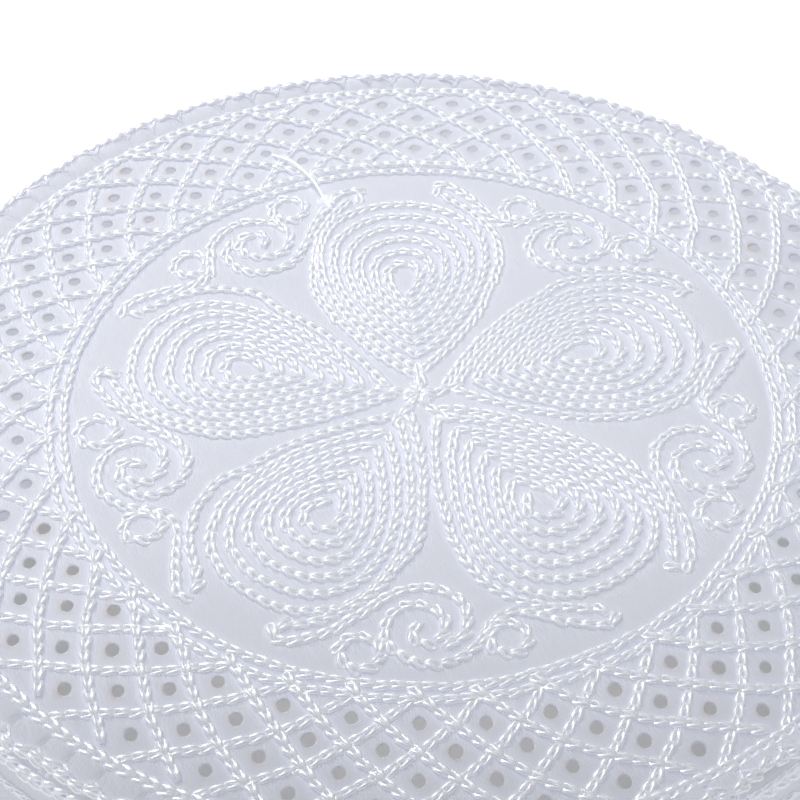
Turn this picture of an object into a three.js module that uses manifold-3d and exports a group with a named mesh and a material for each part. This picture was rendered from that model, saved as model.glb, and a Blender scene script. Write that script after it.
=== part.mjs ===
// Round prayer cap of white cloth standing on its hem: a flat pierced top panel over an upright side band.
// Millimetres, +Z up, with the origin in the middle of the hem's underside.
import * as THREE from 'three';
import { mergeVertices } from 'three/addons/utils/BufferGeometryUtils.js';
import Module from 'manifold-3d';

// The whole cap
const CAP_HEIGHT = 80;
const HEM_RADIUS = 90;
const SEAM_RADIUS = 86;
const SEAM_GAP = 0.4;

// Top panel, from the crown in the middle to the strip that rolls over into the seam
const PANEL_CLOTH = 1.2;
const CROWN_DROP = 1.2;
const FLOWER_RING_RADIUS = 57.5;
const STRIP_START_RADIUS = 80.2;
const RIM_DROP = 2.8;
const PUCKER_COUNT = 90;
const PUCKER_DEPTH = 0.35;
// The strip's section. out: share of its width; down: below its start; pucker: share of the full depth
const STRIP_SECTION = [
  { out: 0.3, down: -0.45, pucker: 0.4 },
  { out: 0.72, down: -0.75, pucker: 0.8 },
  { out: 0.95, down: 0.25, pucker: 1 },
];
const RIM_INNER_DROP = 1.3;

// Eyelets: staggered rows of round holes, one between each pair of lattice lines. The embroidery that they
// follow was set a little off the panel's middle and worked unevenly by hand
const EMBROIDERY_SHIFT = { x: 1.75, y: 0.5 };
// The unevenness, in swells round the cap. count: how many, where 0 moves all alike; height: degrees gained
// or millimetres moved outwards at their tops; peak: where the first one is highest, in degrees
const AHEAD_SWELLS = [
  { count: 0, height: 0.6, peak: 0 },
  { count: 1, height: 1.1, peak: 110 },
  { count: 3, height: 1.0, peak: 20 },
];
const OUT_SWELLS = [
  { count: 0, height: 0.4, peak: 0 },
  { count: 1, height: 0.9, peak: 95 },
  { count: 3, height: 0.8, peak: 45 },
];
const EYELETS_PER_ROW = 40;
const EYELET_DIAMETER = 2.0;
const EYELET_SIDES = 8;
const EYELET_FIRST_RADIUS = 62.7;
const EYELET_ROW_STEP = 4.5;
const EYELET_ROWS = 3;

// Side band with its turned hem
const BAND_CLOTH = 1.4;
const BAND_EDGE_ROUND = 0.4;
const HEM_HEIGHT = 12;
const HEM_TURN_IN = 1.2;
const BAND_LEVELS = 5;

// How finely the round forms are divided
const PANEL_COLUMNS = 90;
const BAND_COLUMNS = 90;

const CLOTH_WHITE = 0xe6e8f2;
const CLOTH_SHADE = 0xdcdfea;

const wasm = await Module();
wasm.setup();

// Height of the panel's face at a radius inside the strip: a very shallow dome.
function crownHeight(radius) {
  return CAP_HEIGHT - CROWN_DROP * (radius / STRIP_START_RADIUS) ** 2;
}

// One ring of points round the axis. Every second point of a puckered ring is drawn in and down.
function ringPoints({ radius, height, columns, pucker }) {
  const points = [];
  for (let i = 0; i < columns; i += 1) {
    const angle = (2 * Math.PI * i) / columns;
    const sunk = (i % 2) * pucker * PUCKER_DEPTH;
    const reach = radius - sunk / 2;
    points.push([reach * Math.cos(angle), reach * Math.sin(angle), height - sunk]);
  }
  return points;
}

// Triangles between two rings, where either ring may have a whole multiple of the other's points.
function bridge(inner, outer, triangles) {
  const sections = Math.min(inner.count, outer.count);
  const innerSteps = inner.count / sections;
  const outerSteps = outer.count / sections;
  const innerAt = (i) => inner.start + (i % inner.count);
  const outerAt = (i) => outer.start + (i % outer.count);
  for (let s = 0; s < sections; s += 1) {
    let a = 0;
    let b = 0;
    while (a < innerSteps || b < outerSteps) {
      const onInner = innerAt(s * innerSteps + a);
      const onOuter = outerAt(s * outerSteps + b);
      const outerIsBehind = (b + 0.5) / outerSteps <= (a + 0.5) / innerSteps;
      if (b < outerSteps && (outerIsBehind || a === innerSteps)) {
        triangles.push(onInner, onOuter, outerAt(s * outerSteps + b + 1));
        b += 1;
      } else {
        triangles.push(onInner, onOuter, innerAt(s * innerSteps + a + 1));
        a += 1;
      }
    }
  }
}

// A closed body of rings that run from the axis on top, over the rim and back to the axis underneath.
function bodyOfRings(rows, topHeight, underHeight) {
  const vertices = [[0, 0, topHeight]];
  const triangles = [];
  const rings = rows.map((row) => {
    const ring = { start: vertices.length, count: row.columns };
    vertices.push(...ringPoints(row));
    return ring;
  });
  const underPole = vertices.length;
  vertices.push([0, 0, underHeight]);
  const first = rings[0];
  for (let i = 0; i < first.count; i += 1) {
    triangles.push(0, first.start + i, first.start + ((i + 1) % first.count));
  }
  for (let r = 1; r < rings.length; r += 1) {
    bridge(rings[r - 1], rings[r], triangles);
  }
  const last = rings[rings.length - 1];
  for (let i = 0; i < last.count; i += 1) {
    triangles.push(underPole, last.start + ((i + 1) % last.count), last.start + i);
  }
  const geometry = new THREE.BufferGeometry();
  geometry.setAttribute('position', new THREE.Float32BufferAttribute(vertices.flat(), 3));
  geometry.setIndex(triangles);
  return geometry;
}

function solidOf(geometry) {
  const bare = geometry.clone();
  bare.deleteAttribute('normal');
  bare.deleteAttribute('uv');
  const merged = mergeVertices(bare);
  return new wasm.Manifold(
    new wasm.Mesh({
      numProp: 3,
      vertProperties: new Float32Array(merged.attributes.position.array),
      triVerts: new Uint32Array(merged.index.array),
    }),
  );
}

function geometryOf(solid) {
  const mesh = solid.getMesh();
  const geometry = new THREE.BufferGeometry();
  geometry.setAttribute('position', new THREE.BufferAttribute(mesh.vertProperties, 3));
  geometry.setIndex(new THREE.BufferAttribute(mesh.triVerts, 1));
  geometry.computeVertexNormals();
  return geometry;
}

// Rows of the panel: its face out to the strip, the puffed strip, the rolled rim, and the underside back in.
function panelRows() {
  const fine = 2 * PUCKER_COUNT;
  const stripWidth = SEAM_RADIUS - STRIP_START_RADIUS;
  const stripHeight = crownHeight(STRIP_START_RADIUS);
  const rimFoot = CAP_HEIGHT - RIM_DROP;
  const smooth = (radius, height, columns) => ({ radius, height, columns, pucker: 0 });
  const lip = SEAM_RADIUS - PANEL_CLOTH;
  const face = [FLOWER_RING_RADIUS / 2, FLOWER_RING_RADIUS, STRIP_START_RADIUS].map((radius) =>
    smooth(radius, crownHeight(radius), PANEL_COLUMNS),
  );
  const strip = STRIP_SECTION.map(({ out, down, pucker }) => ({
    radius: STRIP_START_RADIUS + out * stripWidth,
    height: stripHeight - down,
    columns: fine,
    pucker,
  }));
  const foot = [smooth(SEAM_RADIUS, rimFoot, fine), smooth(lip, rimFoot, fine)];
  const under = [
    smooth(lip, stripHeight - RIM_INNER_DROP, PANEL_COLUMNS),
    smooth(STRIP_START_RADIUS, stripHeight - PANEL_CLOTH, PANEL_COLUMNS),
    smooth(FLOWER_RING_RADIUS, crownHeight(FLOWER_RING_RADIUS) - PANEL_CLOTH, PANEL_COLUMNS),
  ];
  return [...face, ...strip, ...foot, ...under];
}

function swellAt(swells, degrees) {
  let sum = 0;
  for (const { count, height, peak } of swells) {
    sum += height * Math.cos(THREE.MathUtils.degToRad(count * (degrees - peak)));
  }
  return sum;
}

// Where a point of the evenly laid out lattice was really worked.
function workedPoint(radius, degrees) {
  const reach = radius + swellAt(OUT_SWELLS, degrees);
  const angle = THREE.MathUtils.degToRad(degrees + swellAt(AHEAD_SWELLS, degrees));
  return {
    x: EMBROIDERY_SHIFT.x + reach * Math.cos(angle),
    y: EMBROIDERY_SHIFT.y + reach * Math.sin(angle),
  };
}

// Upright cutters, one for each eyelet. Odd rows stand half a step round from even ones.
function eyeletCutters() {
  const length = 4 * PANEL_CLOTH;
  const pitch = 360 / EYELETS_PER_ROW;
  const cutters = [];
  for (let row = 0; row < EYELET_ROWS; row += 1) {
    const radius = EYELET_FIRST_RADIUS + row * EYELET_ROW_STEP;
    for (let i = 0; i < EYELETS_PER_ROW; i += 1) {
      const { x, y } = workedPoint(radius, pitch * (i + 0.5 * (row % 2)));
      const cutter = new THREE.CylinderGeometry(
        EYELET_DIAMETER / 2,
        EYELET_DIAMETER / 2,
        length,
        EYELET_SIDES,
      );
      cutter.rotateX(Math.PI / 2);
      cutter.translate(x, y, crownHeight(radius) - PANEL_CLOTH / 2);
      cutters.push(cutter);
    }
  }
  return cutters;
}

function topPanelGeometry() {
  let panel = solidOf(bodyOfRings(panelRows(), CAP_HEIGHT, CAP_HEIGHT - PANEL_CLOTH));
  for (const cutter of eyeletCutters()) {
    panel = panel.subtract(solidOf(cutter));
  }
  return geometryOf(panel);
}

// Radius of the band's outside at a height: upright at the hem and drawn in towards the seam.
function bandRadius(height, bandTop) {
  return HEM_RADIUS - (HEM_RADIUS - SEAM_RADIUS) * (height / bandTop) ** 2;
}

function sideBandGeometry() {
  const bandTop = CAP_HEIGHT - RIM_DROP - SEAM_GAP;
  const shoulder = bandTop - BAND_EDGE_ROUND;
  const outside = [];
  for (let level = 0; level <= BAND_LEVELS; level += 1) {
    const height = (shoulder * level) / BAND_LEVELS;
    outside.push(new THREE.Vector2(bandRadius(height, bandTop), height));
  }
  const topOuter = bandRadius(bandTop, bandTop);
  const edge = [
    new THREE.Vector2(topOuter - BAND_EDGE_ROUND, bandTop),
    new THREE.Vector2(topOuter - BAND_CLOTH + BAND_EDGE_ROUND, bandTop),
  ];
  const inside = [];
  for (let level = BAND_LEVELS; level > 0; level -= 1) {
    const height = HEM_HEIGHT + ((shoulder - HEM_HEIGHT) * level) / BAND_LEVELS;
    inside.push(new THREE.Vector2(bandRadius(height, bandTop) - BAND_CLOTH, height));
  }
  const hemInner = bandRadius(HEM_HEIGHT, bandTop) - BAND_CLOTH - HEM_TURN_IN;
  const hem = [
    new THREE.Vector2(hemInner + HEM_TURN_IN, HEM_HEIGHT),
    new THREE.Vector2(hemInner, HEM_HEIGHT - HEM_TURN_IN),
    new THREE.Vector2(hemInner, 0),
  ];
  const profile = [...outside, ...edge, ...inside, ...hem, outside[0].clone()];
  const band = new THREE.LatheGeometry(profile, BAND_COLUMNS);
  band.rotateX(Math.PI / 2);
  return band;
}

function clothMesh(name, geometry, color) {
  const material = new THREE.MeshStandardMaterial({ color, roughness: 0.85, metalness: 0 });
  const mesh = new THREE.Mesh(geometry, material);
  mesh.name = name;
  return mesh;
}

const cap = new THREE.Group();
cap.name = 'prayer_cap';
cap.add(clothMesh('top_panel', topPanelGeometry(), CLOTH_WHITE));
cap.add(clothMesh('side_band', sideBandGeometry(), CLOTH_SHADE));

export default cap;
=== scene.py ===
import math

import bpy
import numpy as np
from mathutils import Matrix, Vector
from mathutils.kdtree import KDTree


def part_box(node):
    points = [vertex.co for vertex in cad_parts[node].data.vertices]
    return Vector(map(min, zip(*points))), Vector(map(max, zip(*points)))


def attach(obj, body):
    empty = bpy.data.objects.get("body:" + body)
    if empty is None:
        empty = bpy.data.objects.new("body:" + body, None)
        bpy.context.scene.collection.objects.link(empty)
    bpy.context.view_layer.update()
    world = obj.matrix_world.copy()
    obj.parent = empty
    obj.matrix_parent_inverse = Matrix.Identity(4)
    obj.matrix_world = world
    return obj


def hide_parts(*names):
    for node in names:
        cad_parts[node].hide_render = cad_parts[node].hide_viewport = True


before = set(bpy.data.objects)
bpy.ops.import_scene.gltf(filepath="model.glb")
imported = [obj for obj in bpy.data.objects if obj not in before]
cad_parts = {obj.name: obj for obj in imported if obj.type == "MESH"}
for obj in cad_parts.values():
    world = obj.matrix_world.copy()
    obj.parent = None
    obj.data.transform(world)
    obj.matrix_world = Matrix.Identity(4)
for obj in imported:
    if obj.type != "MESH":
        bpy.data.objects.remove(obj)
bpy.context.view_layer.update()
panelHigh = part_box("top_panel")[1]
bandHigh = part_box("side_band")[1]
mm = 0.001    # sizes below are in millimetres, meshes in metres
print("frame loaded")

cap = {
    "top": panelHigh.z / mm,
    "seamRadius": panelHigh.x / mm,
    "bandTop": bandHigh.z / mm,
    "hemRadius": bandHigh.x / mm,
    "flowerRing": 57.5,          # the embroidery's layout is in shares of this radius
    "shift": (1.75, 0.5),        # the embroidery sits a little off the cap's middle
    "crownDrop": 1.2,            # the top is very slightly domed
    "stripStart": 80.2,          # the plain puffed strip begins here
    "softWave": 0.22,            # slow unevenness of the cloth
    "softEnds": (70.0, 9.0),     # radius where it begins to fade, and over how far
    "wander": 0.2,               # how far stitched lines stray from true
}
lattice = {
    "count": 40,                 # lines each way
    "start": 58.2,               # radius of the first crossings
    "rowStep": 4.5,
    "rows": 5,
    "lineStray": 0.35,           # degrees that a whole line is off
    "lineWander": 0.3,           # and that it bends to and fro
    "edgeParts": 6,              # points along a diamond's side
    "eyelet": 1.86,              # diameter
    "eyeletStray": 0.15,
    "eyeletTall": 0.25,          # the front ones are drawn out a little
    "scorchSide": 215.0,         # the hot punch marked this side of its holes more
    "scorch": {"least": 0.14, "mean": 0.24, "stray": 0.18},
    "scorchRings": [(0, 1.0), (0.1, 0.5), (0.3, 0.05), (0.65, 0), (1, 0)],    # how far out, and how brown
    "held": [(58.6, 4.0), (80.7, 3.5)],    # radii where the rings hold it true, and how soon it is free
    "seed": 11,
    # unevenness in swells round the cap: how many (0 moves all alike), how much, and where one is highest
    "ahead": [(0, 0.6, 0), (1, 1.1, 110), (3, 1.0, 20)],    # degrees gained
    "out": [(0, 0.4, 0), (1, 0.9, 95), (3, 0.8, 45)],       # millimetres outwards
}
rng = np.random.default_rng(lattice["seed"])


def smooth(t):
    t = np.clip(t, 0, 1)
    return t * t * (3 - 2 * t)


def polar(radius, degrees):
    a = np.radians(degrees)
    return np.stack([radius * np.cos(a), radius * np.sin(a)], axis=-1)


def swell(rows, degrees):
    return sum(height * np.cos(np.radians(count * (degrees - peak))) for count, height, peak in rows)


# A point of the evenly laid out lattice to where it was worked, unevenly between its two rings
def latticePoint(radius, degrees):
    (low, lowReach), (high, highReach) = lattice["held"]
    free = smooth((radius - low) / lowReach) * smooth((high - radius) / highReach)
    shifted = radius + free * swell(lattice["out"], degrees)
    return polar(shifted, degrees + swell(lattice["ahead"], degrees))


# Layout points to where they were really stitched: off centre, and wandering a little
def handDrawn(points):
    p = np.asarray(points, float)
    x, y = p[..., 0], p[..., 1]
    dx = cap["wander"] * (np.sin(x / 9 + y / 13 + 1) + 0.6 * np.sin(y / 5.5 - x / 17))
    dy = cap["wander"] * (np.sin(y / 10 - x / 12 + 2) + 0.6 * np.sin(x / 6.1 + y / 15))
    return np.stack([x + dx + cap["shift"][0], y + dy + cap["shift"][1]], axis=-1)


# Height of the cloth under the stitching, out to where the strip starts
def crownHeight(points):
    x, y = points[..., 0], points[..., 1]
    r = np.hypot(x, y)
    dome = cap["top"] - cap["crownDrop"] * (r / cap["stripStart"]) ** 2
    begins, over = cap["softEnds"]
    fade = 1 - smooth((r - begins) / over)
    wave = np.sin(x / 11 + 0.7) * np.sin(y / 14 - 0.4) + 0.6 * np.sin((x + y) / 8.3)
    return dome - cap["softWave"] * (0.5 + 0.3 * wave) * fade


# A smooth line through a few chosen points
def throughPoints(points, closed=False, step=0.7):
    p = np.asarray(points, float)
    n = len(p)
    out = []
    for i in range(n if closed else n - 1):
        a, b, c, d = (p[(i + k) % n] if closed else p[min(max(i + k, 0), n - 1)] for k in (-1, 0, 1, 2))
        parts = max(2, int(np.linalg.norm(c - b) / step))
        t = np.linspace(0, 1, parts, endpoint=False)[:, None]
        out.append(0.5 * (2 * b + (c - a) * t + (2 * a - 5 * b + 4 * c - d) * t**2
                          + (3 * b - a - 3 * c + d) * t**3))
    if not closed:
        out.append(p[-1:])
    return np.concatenate(out)


def cornerVertices(mesh):
    corner = np.zeros(len(mesh.loops), np.int32)
    mesh.loops.foreach_get("vertex_index", corner)
    return corner


def newMesh(name, verts, faces, uv=None):
    mesh = bpy.data.meshes.new(name)
    mesh.from_pydata([tuple(v) for v in np.asarray(verts, float) * mm], [], faces)
    if uv is not None:
        layer = mesh.uv_layers.new(name="thread")
        layer.data.foreach_set("uv", np.asarray(uv, np.float32)[cornerVertices(mesh)].ravel())
    mesh.polygons.foreach_set("use_smooth", [True] * len(mesh.polygons))
    mesh.update()
    return mesh


def newObject(name, mesh):
    made = bpy.data.objects.new(name, mesh)
    bpy.context.scene.collection.objects.link(made)
    return made


def meshObject(name, verts, faces, uv=None, material=None):
    made = newObject(name, newMesh(name, verts, faces, uv))
    if material:
        made.data.materials.append(material)
    return made


# A closed strand along a line, with its own thickness at each point
def strand(points, radii, sides=5):
    p = np.asarray(points, float)
    n = len(p)
    radii = np.broadcast_to(np.asarray(radii, float), (n,))
    along = np.gradient(p, axis=0)
    along /= np.linalg.norm(along, axis=1)[:, None]
    side = np.cross(along[0], (0.03, 0.02, 1.0))
    verts, uv = [], []
    length = np.concatenate([[0], np.cumsum(np.linalg.norm(np.diff(p, axis=0), axis=1))])
    for i in range(n):
        side = side - along[i] * side.dot(along[i])
        side /= np.linalg.norm(side)
        up = np.cross(side, along[i])
        for k in range(sides):
            a = 2 * math.pi * k / sides
            verts.append(p[i] + radii[i] * (math.cos(a) * side + math.sin(a) * up))
            uv.append((length[i], k / sides))
    faces = []
    for i in range(n - 1):
        for k in range(sides):
            a, b = i * sides + k, i * sides + (k + 1) % sides
            faces.append((a, b, b + sides, a + sides))
    faces.append(tuple(range(sides))[::-1])
    faces.append(tuple((n - 1) * sides + k for k in range(sides)))
    return verts, faces, uv


def joined(parts):
    verts, faces, uv = [], [], []
    for v, f, u in parts:
        start = len(verts)
        verts += list(v)
        faces += [tuple(start + i for i in face) for face in f]
        uv += list(u)
    return verts, faces, uv


# Sockets that add, multiply and so on, and one method that makes any other node
class Val:
    def __init__(self, graph, socket):
        self.graph = graph
        self.socket = socket

    def calc(self, operation, *others):
        return self.graph.node("ShaderNodeMath", {"operation": operation}, [self, *others])

    def __add__(self, other):
        return self.calc("ADD", other)

    def __sub__(self, other):
        return self.calc("SUBTRACT", other)

    def __rsub__(self, other):
        return self.graph.node("ShaderNodeMath", {"operation": "SUBTRACT"}, [other, self])

    def __mul__(self, other):
        return self.calc("MULTIPLY", other)

    __radd__ = __add__


class Graph:
    def __init__(self, tree):
        self.tree = tree

    def node(self, kind, settings=None, sockets=None, out=0):
        made = self.tree.nodes.new(kind)
        for key, value in (settings or {}).items():
            setattr(made, key, value)
        pairs = sockets.items() if isinstance(sockets, dict) else enumerate(sockets or [])
        for key, value in pairs:
            if isinstance(value, Val):
                self.tree.links.new(value.socket, made.inputs[key])
            else:
                made.inputs[key].default_value = value
        return Val(self, made.outputs[out]) if made.outputs else made


def newMaterial(name, constants):
    material = bpy.data.materials.new(name)
    material.use_nodes = True
    material.node_tree.nodes.clear()
    graph = Graph(material.node_tree)
    shader = graph.node("ShaderNodeBsdfPrincipled", {}, constants)
    graph.node("ShaderNodeOutputMaterial", {}, {"Surface": shader})
    return material, graph, shader.socket.node


def feed(graph, shader, name, value):
    graph.tree.links.new(value.socket, shader.inputs[name])


def noise(graph, place, scale, detail=2.0):
    return graph.node("ShaderNodeTexNoise", {}, {"Vector": place, "Scale": scale, "Detail": detail})


# The first two axes of a place
def split(graph, place):
    first = graph.node("ShaderNodeSeparateXYZ", {}, [place])
    return first, Val(graph, first.socket.node.outputs[1])


def mixColor(graph, share, a, b):
    return graph.node("ShaderNodeMix", {"data_type": "RGBA"}, {0: share, 6: a, 7: b}, 2)


# A value that eases from one number to another as what it follows runs from low to high
def eased(graph, value, low, high, start, end):
    return graph.node("ShaderNodeMapRange", {"interpolation_type": "SMOOTHSTEP"},
                      {"Value": value, "From Min": low, "From Max": high, "To Min": start, "To Max": end})


clothLook = {
    "white": (0.785, 0.80, 0.875, 1),
    "shade": (0.735, 0.755, 0.845, 1),
    # painted shade in the strip's creases
    "crease": (0.55, 0.58, 0.68, 1),
    "scorch": (0.55, 0.42, 0.27, 1),
    "folds": [(0.1, 0.05, 0.5), (0.55, 0.04, 0.35), (-0.2, 0.035, 0.25)],    # slant, width, strength
    "foldStart": (0.02, 0.14),     # shares of the way across the strip
    "foldEnd": (0.3, 0.5),
    "threadPitch": 0.36,           # of the twill
    "cloudScale": 55.0,
    "slubScale": 900.0,
    "relief": 0.45,
    "glow": 0.15,                  # painted glow: emission that stands in for light passing through the cloth
}


# Painted shade in the sharp folds of the gathered strip, on its own map: gathers round the cap, and share of
# the way across
def creaseShade(graph):
    turn, share = split(graph, graph.node("ShaderNodeUVMap", {"uv_map": "gathers"}))
    depth = 0.0
    for slant, width, size in clothLook["folds"]:
        away = ((turn - share * slant + 0.5).calc("FRACT") - 0.5).calc("ABSOLUTE")
        depth = eased(graph, away, 0.0, width, size, 0.0) + depth
    begins = eased(graph, share, *clothLook["foldStart"], 0.0, 1.0)
    ends = eased(graph, share, *clothLook["foldEnd"], 1.0, 0.0)
    return depth * begins * ends


def clothMaterial(name, onWall):
    # painted glow: the cloth emits light in its own white, standing in for light passing through it
    material, graph, shader = newMaterial(name, {
        "Specular IOR Level": 0.25, "Emission Color": clothLook["white"],
        "Emission Strength": clothLook["glow"]})
    if onWall:
        place = graph.node("ShaderNodeUVMap", {"uv_map": "thread"})
    else:
        place = graph.node("ShaderNodeTexCoord", {}, {}, 3)
    x, y = split(graph, place)
    turns = 2 * math.pi / (clothLook["threadPitch"] * mm)
    warp = (x * turns).calc("SINE")
    weft = (y * turns).calc("SINE")
    twill = ((x * 0.94 + y * 0.34) * turns).calc("SINE")
    weave = warp * weft * 0.2 + twill * 0.6
    cloud = noise(graph, place, clothLook["cloudScale"], 3.0)
    slub = noise(graph, place, clothLook["slubScale"])
    base = mixColor(graph, cloud * 0.5 + slub * 0.25, clothLook["white"], clothLook["shade"])
    if not onWall:
        burn = graph.node("ShaderNodeAttribute", {"attribute_name": "scorch"}, {}, 2)
        base = mixColor(graph, burn, base, clothLook["scorch"])
        # painted shade: the cloth is darker along the strip's creases
        base = mixColor(graph, creaseShade(graph), base, clothLook["crease"])
    feed(graph, shader, "Base Color", base)
    feed(graph, shader, "Roughness", slub * 0.18 + 0.72)
    height = weave + slub * 0.8
    bump = graph.node("ShaderNodeBump", {}, {"Strength": clothLook["relief"], "Distance": 0.05 * mm,
                                             "Height": height})
    feed(graph, shader, "Normal", bump)
    return material


threadLook = {
    "white": (0.925, 0.935, 0.975, 1),
    # darker colour for random tone and for the painted shade between filaments
    "shade": (0.67, 0.70, 0.81, 1),
    "filaments": 4,
    "twist": 0.5,              # turns of the yarn in a millimetre
    "frayScale": 2600.0,
    "toneScale": 140.0,
    "relief": 0.7,
    "gloss": 1.8,              # silk shines more than plain thread
    "glow": 0.2,               # painted glow: emission that stands in for light passing through the silk
    "seamGlow": 0.22,          # and the same painted glow, stronger, for the looser threads of the seam
}


def threadMaterial(name, glow):
    # painted glow: the thread emits light in its own white, standing in for light passing through it
    material, graph, shader = newMaterial(name, {
        "IOR": threadLook["gloss"], "Specular IOR Level": 1.0,
        "Emission Color": threadLook["white"], "Emission Strength": glow})
    along, around = split(graph, graph.node("ShaderNodeUVMap", {"uv_map": "thread"}))
    lay = (around * (2 * math.pi * threadLook["filaments"])
           + along * (2 * math.pi * threadLook["twist"])).calc("SINE")
    spot = graph.node("ShaderNodeTexCoord", {}, {}, 3)
    fray = noise(graph, spot, threadLook["frayScale"])
    tone = noise(graph, spot, threadLook["toneScale"])
    # painted shade: the yarn is darker in stripes between its filaments, mixed with random tone
    filamentShade = (lay * 0.5 + 0.5) * (fray * 0.9 + 0.2)
    base = mixColor(graph, tone * 0.3 + filamentShade * 0.7, threadLook["white"], threadLook["shade"])
    feed(graph, shader, "Base Color", base)
    feed(graph, shader, "Roughness", fray * 0.24 + 0.13)
    bump = graph.node("ShaderNodeBump", {}, {"Strength": threadLook["relief"], "Distance": 0.05 * mm,
                                             "Height": lay * 0.5 + fray * 0.6})
    feed(graph, shader, "Normal", bump)
    return material


panelCloth = clothMaterial("panelCloth", False)
bandCloth = clothMaterial("bandCloth", True)
silkThread = threadMaterial("silkThread", threadLook["glow"])
seamThread = threadMaterial("seamThread", threadLook["seamGlow"])
print("materials made")

# The flower. Sizes are shares of the flower ring's radius, at the start and end of a petal's spiral
flower = {
    "top": (0.521, 0.845),       # where a loop crosses the petal's axis, far side
    "cusp": (0.452, 0.107),      # and where its two sides meet, near side
    "half": (0.024, 0.261),      # half the loop's width
    "point": 0.89,               # how pointed a loop is at its cusp
    "round": 0.9,                # and how round at its tip
    "arms": {"leftArm": 1.047, "rightArm": 1.12},    # the scrolls' arms go on where the spiral ends
    "turns": 6,
    "firstPhase": 0.2,           # where the innermost loop starts
    "stem": [(0.0, 0.125), (0.004, 0.06), (0.0, 0.0)],    # from the last cusp to the flower's middle
    "petals": [                  # sink lengthens the bare drop in the middle
        {"axis": 94.5, "sink": 0.035, "spread": 1.03},
        {"axis": 167.0, "sink": 0.0, "spread": 0.98},
        {"axis": 239.5, "sink": 0.0, "spread": 1.01},
        {"axis": 309.0, "sink": 0.0, "spread": 1.0},
        {"axis": 20.5, "sink": 0.02, "spread": 0.98},
    ],
}


def loopSide(phase):
    bend = math.sin(phase)
    return math.copysign(abs(bend) ** flower["round"], bend) * math.sin(phase / 2) ** flower["point"]


loopWidest = max(loopSide(phase) for phase in np.linspace(1, 3, 60))


# A point of a petal's loop: share is how far along the spiral, phase 0 is the cusp and pi the tip
def loopPoint(share, phase, petal):
    top, cusp, half = (a + (b - a) * share for a, b in (flower["top"], flower["cusp"], flower["half"]))
    cusp -= petal["sink"] * (1 - share)
    aside = half * petal["spread"] * loopSide(phase) / loopWidest
    return aside, cusp + (top - cusp) * (1 - math.cos(phase)) / 2


# From a motif's own frame, with outwards up, to the flower's layout in millimetres
def turned(points, degrees):
    p = np.asarray(points, float) * cap["flowerRing"]
    a = math.radians(degrees)
    out = np.array([math.cos(a), math.sin(a)])
    right = np.array([math.sin(a), -math.cos(a)])
    return p[:, :1] * right + p[:, 1:] * out


# Ends a line one stitch early, so that its last stitch reaches the line's end
def lessOneStitch(points):
    steps = np.linalg.norm(np.diff(points, axis=0), axis=1)
    along = np.concatenate([[0], np.cumsum(steps)])
    count = max(int(along[-1] / link["pitch"]), 2)
    return points[along < along[-1] * (count - 1) / count]


# A petal's spiral, cut at the cusps: a stitch ends in each corner
def petalLines():
    lines = []
    for petal in flower["petals"]:
        for turn in range(flower["turns"]):
            phases = np.linspace(0.0 if turn else flower["firstPhase"], 2 * math.pi, 160)
            loop = [loopPoint((turn + a / 2 / math.pi) / flower["turns"], a, petal) for a in phases]
            lines.append((lessOneStitch(turned(loop, petal["axis"])), False))
        lines.append((turned(flower["stem"], petal["axis"]), False))
    return lines


# One scroll between two petals: each arm leaves a petal's side, doubles back at a hairpin and curls
scroll = {
    "angles": [129.0, 201.0, 273.0, 345.0, 57.0],
    "along": (24, 96),           # an arm first follows a petal's side, between these phases in degrees
    "leftArm": [(-0.11, 0.61), (-0.155, 0.67), (-0.22, 0.72), (-0.31, 0.75), (-0.385, 0.76), (-0.44, 0.78),
                (-0.44, 0.815), (-0.385, 0.81), (-0.31, 0.79), (-0.24, 0.765), (-0.185, 0.765),
                (-0.145, 0.80), (-0.115, 0.85), (-0.06, 0.895), (0.0, 0.91), (0.06, 0.895), (0.105, 0.85),
                (0.115, 0.795), (0.09, 0.745), (0.04, 0.725), (-0.01, 0.745), (-0.035, 0.79),
                (-0.01, 0.835), (0.03, 0.84), (0.05, 0.805), (0.025, 0.78)],
    "rightArm": [(0.095, 0.62), (0.145, 0.68), (0.21, 0.73), (0.26, 0.755), (0.32, 0.775), (0.375, 0.785),
                 (0.405, 0.795), (0.39, 0.82), (0.365, 0.825), (0.30, 0.815), (0.225, 0.78),
                 (0.16, 0.735), (0.10, 0.695), (0.04, 0.67), (-0.02, 0.675), (-0.07, 0.71),
                 (-0.09, 0.765), (-0.075, 0.825), (-0.03, 0.86)],
    "curls": [((-0.19, 0.84), 0.044), ((0.185, 0.87), 0.047)],    # centre and radius
}


def scrollLines():
    lines = []
    petals = flower["petals"]
    for number, angle in enumerate(scroll["angles"]):
        for arm, hand, petal in (("leftArm", 1, petals[(number + 1) % 5]), ("rightArm", -1, petals[number])):
            phases = hand * np.radians(np.arange(*scroll["along"], 6)) % (2 * math.pi)
            run = [loopPoint(flower["arms"][arm], phase, petal) for phase in phases]
            along = turned(run, petal["axis"])
            points = np.concatenate([along, turned(scroll[arm], angle)])
            lines.append((throughPoints(points[::-1]), False))
        for centre, radius in scroll["curls"]:
            ring = np.array(centre) + radius * polar(1.0, np.arange(0, 360, 30))
            lines.append((throughPoints(turned(ring, angle), closed=True), True))
    return lines


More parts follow.
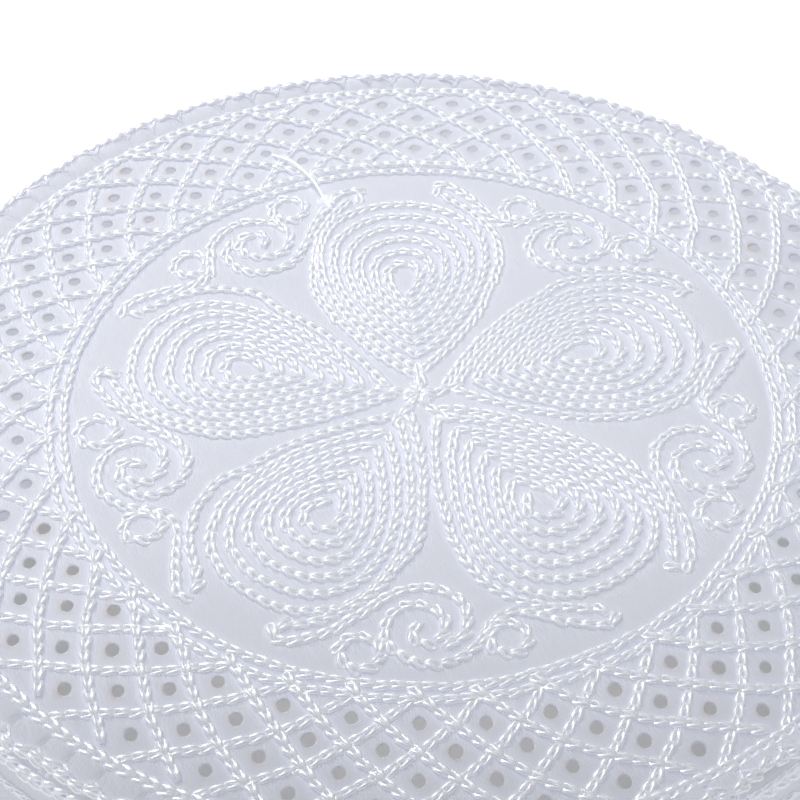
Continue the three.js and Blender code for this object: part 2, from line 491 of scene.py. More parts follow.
# Chain stitch: one loop of thread that leaves its hole, spreads and is held down at its head
link = {
    "pitch": 2.2,
    "strand": [    # half of the loop, in millimetres
        {"along": -0.20, "aside": 0.15, "up": -0.12, "thick": 0.30},
        {"along": 0.15, "aside": 0.24, "up": 0.28, "thick": 0.40},
        {"along": 0.60, "aside": 0.31, "up": 0.40, "thick": 0.44},
        {"along": 1.10, "aside": 0.44, "up": 0.33, "thick": 0.42},
        {"along": 1.65, "aside": 0.56, "up": 0.21, "thick": 0.39},
        {"along": 2.15, "aside": 0.48, "up": 0.06, "thick": 0.34},
    ],
    "head": {"along": 2.42, "aside": 0.0, "up": -0.10, "thick": 0.26},
    "flat": 0.75,             # the silk is pressed flat
    "sizeStray": 0.09,
    "turnStray": 0.13,
}
rings = {"flower": [0.980, 1.020], "outer": 1.403}


def ringLine(radius):
    return polar(radius, np.arange(360, 0, -0.75)), True


def latticeLines(hand):
    pitch = 360 / lattice["count"]
    first = rings["flower"][1] * cap["flowerRing"]
    last = rings["outer"] * cap["flowerRing"] - 0.8 * link["pitch"]
    radii = np.linspace(first, last, 30)[::-hand]    # one way is stitched inwards, the other outwards
    lines = []
    for i in range(lattice["count"]):
        stray = rng.uniform(-lattice["lineStray"], lattice["lineStray"])
        stray = stray + lattice["lineWander"] * np.sin(radii / 4 + rng.uniform(0, 6))
        slope = hand * 0.5 * pitch / lattice["rowStep"]
        degrees = pitch * i + slope * (radii - lattice["start"]) + stray
        lines.append((latticePoint(radii, degrees), False))
    return lines


def linkObject():
    half = [tuple(row.values()) for row in link["strand"]]
    loop = half + [tuple(link["head"].values())] + [(x, -y, z, t) for x, y, z, t in half[::-1]]
    loop = np.array(loop)
    verts, faces, uv = strand(loop[:, :3], loop[:, 3])
    return meshObject("chainLink", verts, faces, uv)


# A new tree with geometry going in and coming out, and the inputs that are wanted by name
def newTree(name, wanted):
    tree = bpy.data.node_groups.new(name, "GeometryNodeTree")
    face = tree.interface
    face.new_socket("Geometry", in_out="INPUT", socket_type="NodeSocketGeometry")
    names = {}
    for socket, kind in wanted.items():
        names[socket] = face.new_socket(socket, in_out="INPUT", socket_type="NodeSocket" + kind).identifier
    face.new_socket("Geometry", in_out="OUTPUT", socket_type="NodeSocketGeometry")
    graph = Graph(tree)
    given = tree.nodes.new("NodeGroupInput")
    value = {socket: Val(graph, given.outputs[socket]) for socket in ["Geometry", *wanted]}
    return graph, names, value


# A rotation, turned a little at random round its own upright
def strayTurn(graph, facing, value):
    stray = graph.node("FunctionNodeRandomValue", {"data_type": "FLOAT"},
                       {2: value["Turn Stray"] * -1.0, 3: value["Turn Stray"], 8: value["Seed"]}, 1)
    spin = graph.node("FunctionNodeAxisAngleToRotation", {}, {"Axis": (0, 0, 1), "Angle": stray})
    return graph.node("FunctionNodeRotateRotation", {"rotation_space": "LOCAL"},
                      {"Rotation": facing, "Rotate By": spin})


def straySize(graph, value):
    return graph.node("FunctionNodeRandomValue", {"data_type": "FLOAT"},
                      {2: 1.0 - value["Size Stray"], 3: 1.0 + value["Size Stray"],
                       8: value["Seed"] + 7}, 1)


# The end of a tree: the stitch on every point, made real, in its thread
def setStitches(graph, points, facing, sizes, value):
    shape = graph.node("GeometryNodeObjectInfo", {}, {"Object": value["Stitch"]}, 4)
    placed = graph.node("GeometryNodeInstanceOnPoints", {},
                        {"Points": points, "Instance": shape, "Rotation": facing, "Scale": sizes})
    real = graph.node("GeometryNodeRealizeInstances", {}, [placed])
    done = graph.node("GeometryNodeSetMaterial", {}, {"Geometry": real, "Material": value["Thread"]})
    graph.node("NodeGroupOutput", {}, [done])


def awayFromAxis(graph):
    position = graph.node("GeometryNodeInputPosition")
    return graph.node("ShaderNodeVectorMath", {"operation": "MULTIPLY"}, [position, (1, 1, 0)])


# The tree that sets loops of chain stitch along guide lines
def chainTree():
    graph, names, value = newTree("chainStitch", {
        "Stitch": "Object", "Pitch": "Float", "Width": "Float", "Length": "Float", "Height": "Float",
        "Size Stray": "Float", "Turn Stray": "Float", "On Wall": "Float", "Seed": "Int",
        "Thread": "Material"})
    line = graph.node("GeometryNodeResampleCurve", {"mode": "LENGTH"},
                      {"Curve": value["Geometry"], "Length": value["Pitch"]})
    tangent = graph.node("GeometryNodeInputTangent")
    outward = graph.node("ShaderNodeVectorMath", {"operation": "NORMALIZE"}, [awayFromAxis(graph)])
    normal = graph.node("ShaderNodeMix", {"data_type": "VECTOR"},
                        {0: value["On Wall"], 4: (0, 0, 1), 5: outward}, 1)
    facing = graph.node("FunctionNodeAlignRotationToVector", {"axis": "X"}, {"Vector": tangent})
    facing = graph.node("FunctionNodeAlignRotationToVector", {"axis": "Z", "pivot_axis": "X"},
                        {"Rotation": facing, "Vector": normal})
    size = straySize(graph, value)
    sizes = graph.node("ShaderNodeCombineXYZ", {},
                       {"X": size * value["Length"], "Y": size * value["Width"],
                        "Z": size * value["Height"]})
    setStitches(graph, line, strayTurn(graph, facing, value), sizes, value)
    return graph.tree, names


# Runs a tree on its host and keeps the result as a plain mesh
def sewn(name, host, tree, names, given):
    modifier = host.modifiers.new("stitches", "NODES")
    modifier.node_group = tree
    for key, item in given.items():
        modifier[names[key]] = item
    graph = bpy.context.evaluated_depsgraph_get()
    mesh = bpy.data.meshes.new_from_object(host.evaluated_get(graph))
    bpy.data.objects.remove(host)
    print(name, "has", len(mesh.polygons), "faces")
    return newObject(name, mesh)


chainStitch, chainSockets = chainTree()
chainLink = linkObject()


# Chain stitch along guide lines: 3D points, and whether they close
def stitched(name, lines, seed, **changes):
    way = {"onWall": 0.0, "width": 1.0, "length": 1.0, "height": link["flat"], "pitch": link["pitch"],
           "stray": link["turnStray"], "thread": silkThread}
    way.update(changes)
    curve = bpy.data.curves.new(name + "Guide", "CURVE")
    curve.dimensions = "3D"
    for points, closed in lines:
        spline = curve.splines.new("POLY")
        spline.points.add(len(points) - 1)
        flat = np.concatenate([points * mm, np.ones((len(points), 1))], axis=1)
        spline.points.foreach_set("co", flat.astype(np.float32).ravel())
        spline.use_cyclic_u = closed
    return sewn(name, newObject(name + "Guide", curve), chainStitch, chainSockets, {
        "Stitch": chainLink, "Pitch": way["pitch"] * mm, "Width": way["width"], "Length": way["length"],
        "Height": way["height"], "Size Stray": link["sizeStray"], "Turn Stray": way["stray"],
        "On Wall": way["onWall"], "Seed": seed, "Thread": way["thread"]})


# Lines of the layout, laid on the cloth
def onCloth(lines, lift=0.0):
    laid = []
    for points, closed in lines:
        p = handDrawn(points)
        z = crownHeight(p) + lift
        laid.append((np.concatenate([p, z[:, None]], axis=1), closed))
    return laid


flowerMiddle = onCloth([(np.zeros((1, 2)), False)])[0][0][0]
embroidery = {
    "flowerPetals": {"lines": petalLines(), "lift": -0.05, "seed": 1, "width": 1.03},
    "flowerScrolls": {"lines": scrollLines(), "lift": -0.05, "seed": 2, "width": 1.05},
    "flowerRings": {"lines": [ringLine(r * cap["flowerRing"]) for r in rings["flower"]],
                    "lift": 0.0, "seed": 3, "width": 0.93},
    "outerRing": {"lines": [ringLine(rings["outer"] * cap["flowerRing"])],
                  "lift": 0.0, "seed": 7, "width": 1.28},
    "latticeOver": {"lines": latticeLines(1), "lift": 0.14, "seed": 4, "width": 0.98},
    "latticeUnder": {"lines": latticeLines(-1), "lift": -0.1, "seed": 5, "width": 0.95},
}
stitchPieces = []
stitchPoints = []
for name, row in embroidery.items():
    lines = onCloth(row["lines"], row["lift"])
    stitchPoints += [points[:, :2] for points, closed in lines]
    stitchPieces.append(stitched(name, lines, row["seed"], width=row["width"]))
stitchPoints = np.concatenate(stitchPoints)
print("embroidery stitched,", len(stitchPoints), "guide points")

# The top panel
panel = {
    "cloth": 0.4,
    "quiltDepth": 0.28,        # how far stitching pulls the cloth down
    "quiltReach": 1.5,
    "quiltPuff": 0.35,         # share of that depth by which the cloth stands up between
    "discRings": 45,
    "discStep": 1.27,
    "discThin": [(24.0, 2), (11.0, 4)],    # inside these radii, this many times fewer columns
    "puckers": 90,
    "puckerDepth": 0.5,
    "puckerGrows": 0.16,       # share of the way across the strip until they are full
    "puckerFades": (0.3, 0.2),     # where they begin to fade, and over how far
    "puckerLeft": 0.15,        # share of the depth that is left at the seam
    "creases": [(0.1, 0.07, 1.0), (0.55, 0.06, 0.5)],    # slant across the strip, width and depth
    "stripParts": 36,          # columns of the strip for each lattice line
    "stripRows": 14,
    "section": [               # of the strip: share of its width, and height above its start
        (0.0, 0.0), (0.15, 0.35), (0.36, 0.72), (0.60, 0.92), (0.80, 0.80), (0.92, 0.25),
        (0.97, -0.45), (0.97, -1.1), (0.93, -1.65),
    ],
}


def zipRows(inner, outer, faces):
    a = b = 0
    lastA, lastB = len(inner) - 1, len(outer) - 1
    if lastA == lastB:
        faces += [(inner[i], outer[i], outer[i + 1], inner[i + 1]) for i in range(lastA)]
        return
    while a < lastA or b < lastB:
        outerBehind = a == lastA or (b + 0.5) * lastA <= (a + 0.5) * lastB
        if b < lastB and outerBehind:
            faces.append((inner[a], outer[b], outer[b + 1]))
            b += 1
        else:
            faces.append((inner[a], outer[b], inner[a + 1]))
            a += 1


# Which gather an angle of the seam lies in, counted round the cap: they are not quite even
def gather(degrees):
    a = np.radians(degrees)
    return degrees / 360 * panel["puckers"] + 0.22 * np.sin(7 * a + 1) + 0.18 * np.sin(23 * a)


# How deep the gathers are along the seam: about 1 in a crease, and under 0 where the cloth puffs between
def pucker(degrees, share):
    a = np.radians(degrees)
    turn = gather(degrees)
    depth = 0.0
    for slant, width, size in panel["creases"]:
        away = np.abs((turn - slant * share + 0.5) % 1.0 - 0.5)
        depth = depth + size * np.exp(-((away / width) ** 2))
    puff = 0.3 * (1 - np.cos(2 * math.pi * (turn - 0.15))) / 2
    return depth * (0.75 + 0.25 * np.sin(11 * a + 2 * np.sin(5 * a))) - puff


class PanelNet:
    def __init__(self):
        self.points = []
        self.scorch = []
        self.known = {}
        self.faces = []

    def at(self, xy, scorch=0.0):
        key = (round(float(xy[0]), 3), round(float(xy[1]), 3))
        if key not in self.known:
            self.known[key] = len(self.points)
            self.points.append(key)
            self.scorch.append(scorch)
        return self.known[key]


def eyeletCentres():
    pitch = 360 / lattice["count"]
    rows = []
    for level in range(1, lattice["rows"]):
        radius = lattice["start"] + level * lattice["rowStep"]
        for i in range(lattice["count"]):
            rows.append((pitch * (i + 0.5 * ((level + 1) % 2)), radius))
    return rows


def panelDisc(net):
    columns = lattice["count"] * lattice["edgeParts"]
    outer = None
    for k in range(panel["discRings"]):
        radius = lattice["start"] - panel["discStep"] * k
        count = columns // max([1] + [fewer for inside, fewer in panel["discThin"] if radius <= inside])
        row = [net.at(latticePoint(radius, 360 * i / count)) for i in range(count)]
        row.append(row[0])
        if outer is not None:
            zipRows(row, outer, net.faces)
        outer = row
    zipRows([net.at((0.0, 0.0))], outer, net.faces)


def panelLattice(net):
    pitch = 360 / lattice["count"]
    parts = lattice["edgeParts"]
    step = lattice["rowStep"]
    share = np.arange(parts) / parts
    scorch = lattice["scorch"]
    for centre, radius in eyeletCentres():
        corners = [(centre, radius + step), (centre + pitch / 2, radius),
                   (centre, radius - step), (centre - pitch / 2, radius)]
        edge = []
        for k in range(4):
            a, b = np.array(corners[k]), np.array(corners[(k + 1) % 4])
            edge += [a + (b - a) * s for s in share]
        edge = np.array([latticePoint(r, d) for d, r in edge])
        middle = latticePoint(radius, centre) + rng.uniform(-1, 1, 2) * lattice["eyeletStray"]
        size = lattice["eyelet"] / 2 * rng.uniform(0.92, 1.08)
        burn = max(scorch["least"], rng.normal(scorch["mean"], scorch["stray"]))
        turn = centre + 360 * np.arange(4 * parts) / (4 * parts)
        tall = 1 + lattice["eyeletTall"] * max(0.0, -math.sin(math.radians(centre)))
        hole = middle + polar(size, turn) * (1, tall)
        inner = None
        sided = 0.5 + 0.7 * np.cos(np.radians(turn - lattice["scorchSide"]))
        for out, brown in lattice["scorchRings"]:
            ring = hole + (edge - hole) * out
            row = [net.at(p, burn * brown * max(0.15, side)) for p, side in zip(ring, sided)]
            row.append(row[0])
            if inner is not None:
                zipRows(inner, row, net.faces)
            inner = row
    for level, sign in ((0, 1), (lattice["rows"], -1)):
        base = lattice["start"] + level * step
        fine = parts if sign > 0 else panel["stripParts"]
        for i in range(lattice["count"]):
            left = pitch * (i + 0.5 * (level % 2))
            rows = []
            for j in range(parts + 1):
                count = fine if j == 0 else parts - j
                low = left + pitch / 2 * j / parts
                high = left + pitch - pitch / 2 * j / parts
                radius = base + sign * step * j / parts
                angles = np.linspace(low, high, count + 1)
                rows.append([net.at(latticePoint(radius, d)) for d in angles])
            for a, b in zip(rows, rows[1:]):
                inner, outer = (a, b) if sign > 0 else (b, a)
                zipRows(inner, outer, net.faces)


def panelStrip(net, points, gathers):
    columns = lattice["count"] * panel["stripParts"]
    layout = 180 / lattice["count"] + 360 * np.arange(columns) / columns
    edge = lattice["start"] + lattice["rows"] * lattice["rowStep"]
    inner = [net.at(latticePoint(edge, d)) for d in layout]
    start = np.array([points[i] for i in inner])
    inner.append(inner[0])
    first = np.hypot(start[:, 0], start[:, 1])
    degrees = np.degrees(np.arctan2(start[:, 1], start[:, 0])) % 360
    width = cap["seamRadius"] - first
    for i, g in zip(inner, gather(degrees)):
        gathers[i] = (g, 0.0)
    base = cap["top"] - cap["crownDrop"]
    section = throughPoints(panel["section"], step=0.02)
    scaled = section * (cap["seamRadius"] - edge, 1)
    length = np.concatenate([[0], np.cumsum(np.linalg.norm(np.diff(scaled, axis=0), axis=1))])
    ahead = np.gradient(scaled, axis=0)
    ahead /= np.linalg.norm(ahead, axis=1)[:, None]
    for k in range(1, panel["stripRows"] + 1):
        share = k / panel["stripRows"]
        out, rise = (np.interp(share * length[-1], length, section[:, c]) for c in (0, 1))
        dr, dz = (np.interp(share * length[-1], length, ahead[:, c]) for c in (0, 1))
        fades, over = panel["puckerFades"]
        kept = 1 - (1 - panel["puckerLeft"]) * smooth((share - fades) / over)
        sunk = panel["puckerDepth"] * smooth(share / panel["puckerGrows"]) * kept * pucker(degrees, share)
        radius = first + width * out + dz * sunk
        height = base + rise + (start[:, 2] - base) * (1 - share) ** 3 - dr * sunk
        number = len(points)
        points += [(*polar(q, d), h) for q, d, h in zip(radius, degrees, height)]
        gathers += [(g, share) for g in gather(degrees)]
        row = list(range(number, number + columns))
        row.append(row[0])
        zipRows(inner, row, net.faces)
        inner = row


# The gathers' own map, kept whole where the last gather meets the first
def gathersMap(mesh, gathers):
    layer = mesh.uv_layers.new(name="gathers")
    uv = np.array(gathers, np.float32)[cornerVertices(mesh)]
    first = np.zeros(len(mesh.polygons), np.int32)
    count = np.zeros(len(mesh.polygons), np.int32)
    mesh.polygons.foreach_get("loop_start", first)
    mesh.polygons.foreach_get("loop_total", count)
    highest = np.repeat(np.maximum.reduceat(uv[:, 0], first), count)
    uv[:, 0] += panel["puckers"] * (highest - uv[:, 0] > panel["puckers"] / 2)
    layer.data.foreach_set("uv", uv.ravel())


def thicken(made, thickness):
    modifier = made.modifiers.new("cloth", "SOLIDIFY")
    modifier.thickness = thickness * mm
    modifier.offset = -1
    graph = bpy.context.evaluated_depsgraph_get()
    mesh = bpy.data.meshes.new_from_object(made.evaluated_get(graph))
    made.modifiers.clear()
    made.data = mesh


def topPanel():
    net = PanelNet()
    panelLattice(net)
    panelDisc(net)
    # points that the strip shares with the lattice must exist before its own are numbered
    flat = handDrawn(np.array(net.points))
    tree = KDTree(len(stitchPoints))
    for i, p in enumerate(stitchPoints):
        tree.insert((p[0], p[1], 0), i)
    tree.balance()
    away = np.array([tree.find((p[0], p[1], 0))[2] for p in flat])
    dip = panel["quiltDepth"] * (np.exp(-((away / panel["quiltReach"]) ** 2)) - panel["quiltPuff"])
    points = [(p[0], p[1], h - d) for p, h, d in zip(flat, crownHeight(flat), dip)]
    gathers = [(0.0, 0.0)] * len(points)
    panelStrip(net, points, gathers)
    made = meshObject("topPanel", points, net.faces, material=panelCloth)
    gathersMap(made.data, gathers)
    burn = made.data.attributes.new("scorch", "FLOAT", "POINT")
    values = np.zeros(len(points), np.float32)
    values[:len(net.scorch)] = net.scorch
    burn.data.foreach_set("value", values)
    thicken(made, panel["cloth"])
    print("top panel has", len(made.data.polygons), "faces")
    return made


topPiece = topPanel()

# The side band, as one closed section carried round
band = {
    "cloth": 0.9,
    "columns": 480,
    "rows": 34,
    "hemHeight": 12.0,
    "hemTurn": 0.9,
    "puckerDepth": 0.35,
    "puckerReach": 4.0,
    "sag": 0.45,               # soft unevenness of the wall
    "hemPull": 0.22,           # how far the hem's row of stitches draws the wall in
    "hemPullUnder": 1.4,       # how far under the hem's edge that is
    "hemPullReach": 0.9,
}


def wallRadius(z):
    return cap["hemRadius"] - (cap["hemRadius"] - cap["seamRadius"]) * (z / cap["bandTop"]) ** 2


# Soft unevenness of the wall, which its hem and seam hold true
def wallSag(z, angles):
    free = smooth(z / 10) * smooth((cap["bandTop"] - z) / 14)
    wave = np.sin(3 * angles + 0.6 + z / 60) + 0.7 * np.sin(5 * angles + 2 + z / 45)
    return band["sag"] * free * (wave + 0.35 * np.sin(9 * angles - z / 30))


def bandSection():
    top = cap["bandTop"]
    seam = cap["seamRadius"]
    cloth = band["cloth"]
    tucked = [(seam - 2.2, top + 1.2), (seam - 1.6, top - 0.1), (seam - 0.9, top + 0.1),
              (seam - 0.45, top + 0.7), (seam, top + 0.85), (seam + 0.25, top + 0.35)]
    outer = [(wallRadius(z), z) for z in np.linspace(top - 0.6, 1.0, band["rows"])]
    foot = wallRadius(0)
    hemIn = foot - cloth - band["hemTurn"]
    hem = [(foot - 0.25, 0.25), (foot - 0.8, 0.0), (hemIn + 0.6, 0.0), (hemIn + 0.1, 0.35),
           (hemIn, 1.2), (hemIn - 0.05, 6.0), (hemIn - 0.05, band["hemHeight"] - 0.8),
           (hemIn + 0.3, band["hemHeight"])]
    inner = [(wallRadius(z) - cloth, z) for z in np.linspace(band["hemHeight"], top - 0.4, 16)]
    back = [(seam - 2.6, top + 0.4), (seam - 2.9, top + 1.5)]
    return np.array(tucked + outer + hem + inner + back)


def sideBand():
    section = bandSection()
    columns = band["columns"]
    degrees = 360 * np.arange(columns) / columns
    a = np.radians(degrees)
    points, uv = [], []
    run = np.concatenate([[0], np.cumsum(np.linalg.norm(np.diff(section, axis=0), axis=1))])
    for (r, z), far in zip(section, run):
        under = cap["bandTop"] - z
        near = math.exp(-max(under, 0) / band["puckerReach"])
        sunk = band["puckerDepth"] * near * pucker(degrees, 1.0)
        fromPull = z - band["hemHeight"] + band["hemPullUnder"]
        hemLine = band["hemPull"] * math.exp(-((fromPull / band["hemPullReach"]) ** 2))
        radius = r - sunk + wallSag(z, a) - hemLine
        points += [(*polar(q, d), z) for q, d in zip(radius, degrees)]
        uv += [(b * cap["seamRadius"] * mm, far * mm) for b in a]
    faces = []
    rows = len(section)
    for i in range(rows):
        for k in range(columns):
            j, n = (i + 1) % rows, (k + 1) % columns
            faces.append((i * columns + k, j * columns + k, j * columns + n, i * columns + n))
    print("side band has", len(faces), "faces")
    return meshObject("sideBand", points, faces, uv, bandCloth)


bandPiece = sideBand()

# Chain rows on the wall, and the hem's row
wallRows = {"atSeam": -0.5, "underSeam": 5.6, "overHem": 11.0}


def wallLine(z, lift=-0.1):
    degrees = np.arange(0, 360, 1.0)
    radius = wallRadius(z) + wallSag(z, np.radians(degrees)) + lift
    return np.column_stack([polar(radius, degrees), np.full(len(degrees), z)]), True


wallPiece = stitched("wallChain", [wallLine(cap["bandTop"] - wallRows["underSeam"]),
                                   wallLine(wallRows["overHem"], -0.25)], 6, onWall=1.0)
lipPiece = stitched("seamChain", [wallLine(cap["bandTop"] - wallRows["atSeam"], 0.1)], 8,
                    onWall=0.6, width=1.25, height=1.1, stray=0.22, thread=seamThread)

# A looser chain along the shoulder of the strip
shoulder = {"radius": 84.7, "height": 79.6, "pitch": 2.5, "stray": 0.3}


def shoulderLine():
    degrees = np.arange(0, 360, 1.0)
    a = np.radians(degrees)
    radius = shoulder["radius"] + 0.25 * np.sin(41 * a) + 0.2 * np.sin(67 * a + 1)
    height = shoulder["height"] - 0.4 * (radius - shoulder["radius"])
    return np.column_stack([polar(radius, degrees), height]), True


shoulderPiece = stitched("shoulderChain", [shoulderLine()], 9, onWall=0.35, pitch=shoulder["pitch"],
                         width=1.05, height=0.9, stray=shoulder["stray"], thread=seamThread)

# The zigzag seam: from each crease two strands run over the strip's edge down to the band
seam = {
    "apex": (82.9, 79.35),     # radius and height where two strands meet
    "share": 0.3,              # how far across the strip that is
    "arms": [                  # along the seam, outwards and up from there
        [(0.25, -0.2, -0.3), (0.0, 0.1, 0.15), (-0.9, 0.7, 0.5), (-1.9, 1.3, 0.62), (-2.7, 2.0, 0.3),
         (-3.0, 2.6, -0.6), (-3.0, 2.8, -1.5)],
        [(-0.25, -0.2, -0.3), (0.0, 0.15, 0.25), (0.4, 0.8, 0.55), (0.8, 1.5, 0.6), (1.0, 2.1, 0.2),
         (1.1, 2.6, -0.6), (1.1, 2.8, -1.5)],
    ],
    "pair": 0.3,               # each is a pair, this far apart
    "thick": 0.15,
    "sizeStray": 0.2,
    "turnStray": 0.16,
    "seed": 3,
}


def strokeObject():
    parts = []
    for arm in seam["arms"]:
        path = throughPoints(arm, step=0.8)
        for side in (-0.5, 0.5):
            parts.append(strand(path + np.array([side * seam["pair"], 0, 0]), seam["thick"], sides=4))
    return meshObject("seamStroke", *joined(parts))


# The tree that sets a pair of strands on every crease, facing outwards
def seamTree():
    graph, names, value = newTree("zigzagSeam", {
        "Stitch": "Object", "Size Stray": "Float", "Turn Stray": "Float", "Seed": "Int",
        "Thread": "Material"})
    facing = graph.node("FunctionNodeAlignRotationToVector", {"axis": "Y", "pivot_axis": "Z"},
                        {"Vector": awayFromAxis(graph)})
    sizes = graph.node("ShaderNodeCombineXYZ", {}, {"X": straySize(graph, value), "Y": 1.0, "Z": 1.0})
    points = graph.node("GeometryNodeMeshToPoints", {}, {"Mesh": value["Geometry"]})
    setStitches(graph, points, strayTurn(graph, facing, value), sizes, value)
    return graph.tree, names


# Angles of the creases, where they cross the seam's upper line
def creaseAngles():
    fine = np.arange(0, 360, 0.05)
    slant = panel["creases"][0][0]
    return np.interp(np.arange(1, panel["puckers"] + 1) + slant * seam["share"], gather(fine), fine)


def zigzagSeam():
    tree, names = seamTree()
    stroke = strokeObject()
    radius, height = seam["apex"]
    places = [(*polar(radius, d), height) for d in creaseAngles()]
    made = sewn("zigzagSeam", meshObject("seamHost", places, []), tree, names, {
        "Stitch": stroke, "Size Stray": seam["sizeStray"], "Turn Stray": seam["turnStray"],
        "Seed": seam["seed"], "Thread": seamThread})
    bpy.data.objects.remove(stroke)
    return made


seamPiece = zigzagSeam()

# The knot of threads in the middle, and the one loose end
knot = {"loops": 16, "reach": 2.9, "height": 0.75, "thick": 0.3, "seed": 5}
looseEnd = {
    "path": [(-0.47, 1.06, 0.5), (-0.40, 1.00, 1.5), (-0.33, 0.90, 1.6), (-0.29, 0.81, 0.7)],
    "thick": 0.26,
    "tuft": 9,
    "reach": 1.9,
    # painted glow of the loose filament, standing in for light passing through it
    "glow": 0.42,
}


def threadKnot():
    draw = np.random.default_rng(knot["seed"])
    parts = []
    for i in range(knot["loops"]):
        turn = 360 * i / knot["loops"] + draw.uniform(-12, 12)
        far = knot["reach"] * draw.uniform(0.7, 1.05)
        ends = [polar(far * out, turn + draw.uniform(-9, 9)) for out in (1.0, 0.75, 0.4, 0.1)]
        lift = knot["height"] * np.array([-0.2, 0.6, 0.9, 0.5]) * draw.uniform(0.7, 1.1)
        path = [flowerMiddle + (*e, h) for e, h in zip(ends, lift)]
        parts.append(strand(throughPoints(path, step=0.5), knot["thick"] * draw.uniform(0.7, 1.2)))
    return meshObject("threadKnot", *joined(parts), silkThread)


# A thread that came free: a fine pale filament over the ring, with a tuft where it leaves the cloth
def looseThread():
    draw = np.random.default_rng(knot["seed"])
    points = np.array(looseEnd["path"])
    path = onCloth([(points[:, :2] * cap["flowerRing"], False)], points[:, 2])[0][0]
    parts = [strand(throughPoints(path, step=0.5), looseEnd["thick"])]
    tip = path[-1]
    for i in range(looseEnd["tuft"]):
        out = np.array([*polar(looseEnd["reach"] * draw.uniform(0.6, 1.1), draw.uniform(0, 360)), 0.0])
        bits = [tip, tip + out * 0.5 + (0, 0, 0.5), tip + out + (0, 0, 0.2)]
        parts.append(strand(throughPoints(bits, step=0.4), looseEnd["thick"] * 0.8))
    return meshObject("looseThread", *joined(parts), threadMaterial("looseSilk", looseEnd["glow"]))


knotPiece = threadKnot()
loosePiece = looseThread()
bpy.data.objects.remove(chainLink)
print("knot and loose end made")

# Every piece rides on the root; the frame's own panel and band are hidden
threadPieces = [seamPiece, lipPiece, shoulderPiece, knotPiece, loosePiece, wallPiece, *stitchPieces]
for piece in [topPiece, bandPiece, *threadPieces]:
    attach(piece, "root")
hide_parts("top_panel")
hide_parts("side_band")

sheets = {
    "panelCut": 2 * (cap["seamRadius"] + 4) * mm,          # across the round cut
    "bandCut": (2 * math.pi * cap["hemRadius"] * mm, (cap["bandTop"] + band["hemHeight"] + 3) * mm),
}
math.pi / 4 * sheets["panelCut"] ** 2

# Floor, lights and camera
stage = {
    "floor": 6.0,
    "floorGlow": 0.75,
    "floorClear": 0.2,          # the floor is white from here out, and shaded round the cap's foot
    "floorWhite": (0.9, 0.9, 0.9, 1),
    # painted shade of the floor under the cap
    "floorShadedInside": (0.70, 0.69, 0.64, 1),
    "worldColor": (0.95, 0.965, 1.0, 1),
    "world": 0.27,
    "inside": {"place": (0, 0.03, 0.055), "size": 0.03, "power": 0.032, "color": (1.0, 0.97, 0.90)},
    "lights": [
        {"name": "key", "place": (-0.35, 0.36, 0.55), "aim": (0, 0, 0.08), "size": 0.2, "spread": 180,
         "power": 1.0, "diffuse": True, "gloss": True},
        {"name": "sparkle", "place": (-0.36, 0.34, 0.53), "aim": (0, 0, 0.08), "size": 0.5, "spread": 180,
         "power": 3.6, "diffuse": False, "gloss": True},    # shows only in the silk
        {"name": "tent", "place": (-0.05, 0.06, 0.30), "aim": (-0.03, 0.06, 0.08), "size": 0.24,
         "spread": 40, "power": 0.071, "diffuse": True, "gloss": False},
    ],
}


def floorPiece():
    material, graph, shader = newMaterial("paleFloor", {
        "Roughness": 0.9, "Emission Strength": stage["floorGlow"]})
    place = graph.node("ShaderNodeTexCoord", {}, {}, 3)
    away = graph.node("ShaderNodeVectorMath", {"operation": "LENGTH"}, [place], 1)
    # painted shade: the floor is darker in colour inside the cap's round, and its glow fades towards the
    # cap's foot
    outside = (away - cap["seamRadius"] * mm).calc("GREATER_THAN", 0.0)
    clear = eased(graph, away, cap["seamRadius"] * mm, stage["floorClear"], 0.0, 1.0)
    feed(graph, shader, "Base Color", mixColor(graph, outside, stage["floorShadedInside"], stage["floorWhite"]))
    feed(graph, shader, "Emission Color", mixColor(graph, clear, (0, 0, 0, 1), (1, 1, 1, 1)))
    half = stage["floor"] / 2 / mm
    corners = [(-half, -half, 0), (half, -half, 0), (half, half, 0), (-half, half, 0)]
    meshObject("floor", corners, [(0, 1, 2, 3)], material=material)


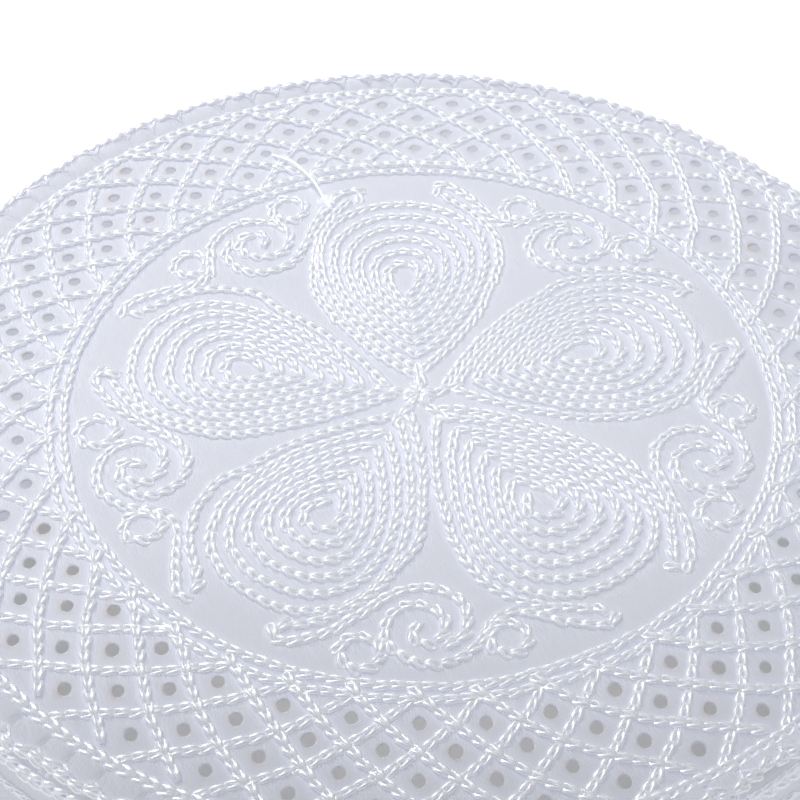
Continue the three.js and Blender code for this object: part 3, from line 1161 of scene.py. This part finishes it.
def areaLight(light):
    data = bpy.data.lights.new(light["name"], "AREA")
    data.size = light["size"]
    data.spread = math.radians(light["spread"])
    data.energy = light["power"]
    made = newObject(light["name"], data)
    made.visible_diffuse = light["diffuse"]
    made.visible_glossy = light["gloss"]
    made.location = light["place"]
    made.rotation_euler = (Vector(light["aim"]) - made.location).to_track_quat("-Z", "Y").to_euler()


# The light that thin cloth lets through to the inside
def insideLight(light):
    data = bpy.data.lights.new("inside", "POINT")
    data.energy = light["power"]
    data.shadow_soft_size = light["size"]
    data.color = light["color"]
    newObject("inside", data).location = light["place"]


def studio():
    floorPiece()
    world = bpy.data.worlds.new("studio")
    bpy.context.scene.world = world
    world.use_nodes = True
    back = next(n for n in world.node_tree.nodes if n.type == "BACKGROUND")
    back.inputs["Color"].default_value = stage["worldColor"]
    graph = Graph(world.node_tree)
    seen = graph.node("ShaderNodeLightPath", {}, {}, 0)
    feed(graph, back, "Strength", seen * (1 - stage["world"]) + stage["world"])    # white behind the floor
    for light in stage["lights"]:
        areaLight(light)
    insideLight(stage["inside"])
    bpy.context.scene.view_settings.view_transform = "Standard"


camera = {
    "elevation": 45.6,
    "distance": 5.65 * cap["flowerRing"] * mm,
    "lens": 92.07,
    "sensor": 36.0,
    "flowerPixel": (420.0, 395.0),     # where the flower's middle lies in the 800 pixel frame
    "frame": 800.0,
}


def setCamera():
    data = bpy.data.cameras.new("camera")
    data.lens = camera["lens"]
    data.sensor_width = camera["sensor"]
    data.clip_start = 0.01
    made = newObject("camera", data)
    e = math.radians(camera["elevation"])
    target = Vector((flowerMiddle[0] * mm, flowerMiddle[1] * mm, cap["top"] * mm))
    back = Vector((0, -math.cos(e), math.sin(e)))
    up = Vector((0, math.sin(e), math.cos(e)))
    made.location = target + back * camera["distance"]
    focal = camera["lens"] / camera["sensor"] * camera["frame"]
    right = (camera["flowerPixel"][0] - camera["frame"] / 2) / focal
    above = (camera["frame"] / 2 - camera["flowerPixel"][1]) / focal
    aim = -back - Vector((1, 0, 0)) * right - up * above
    made.rotation_euler = aim.to_track_quat("-Z", "Y").to_euler()
    bpy.context.scene.camera = made


studio()
setCamera()
print("studio ready")
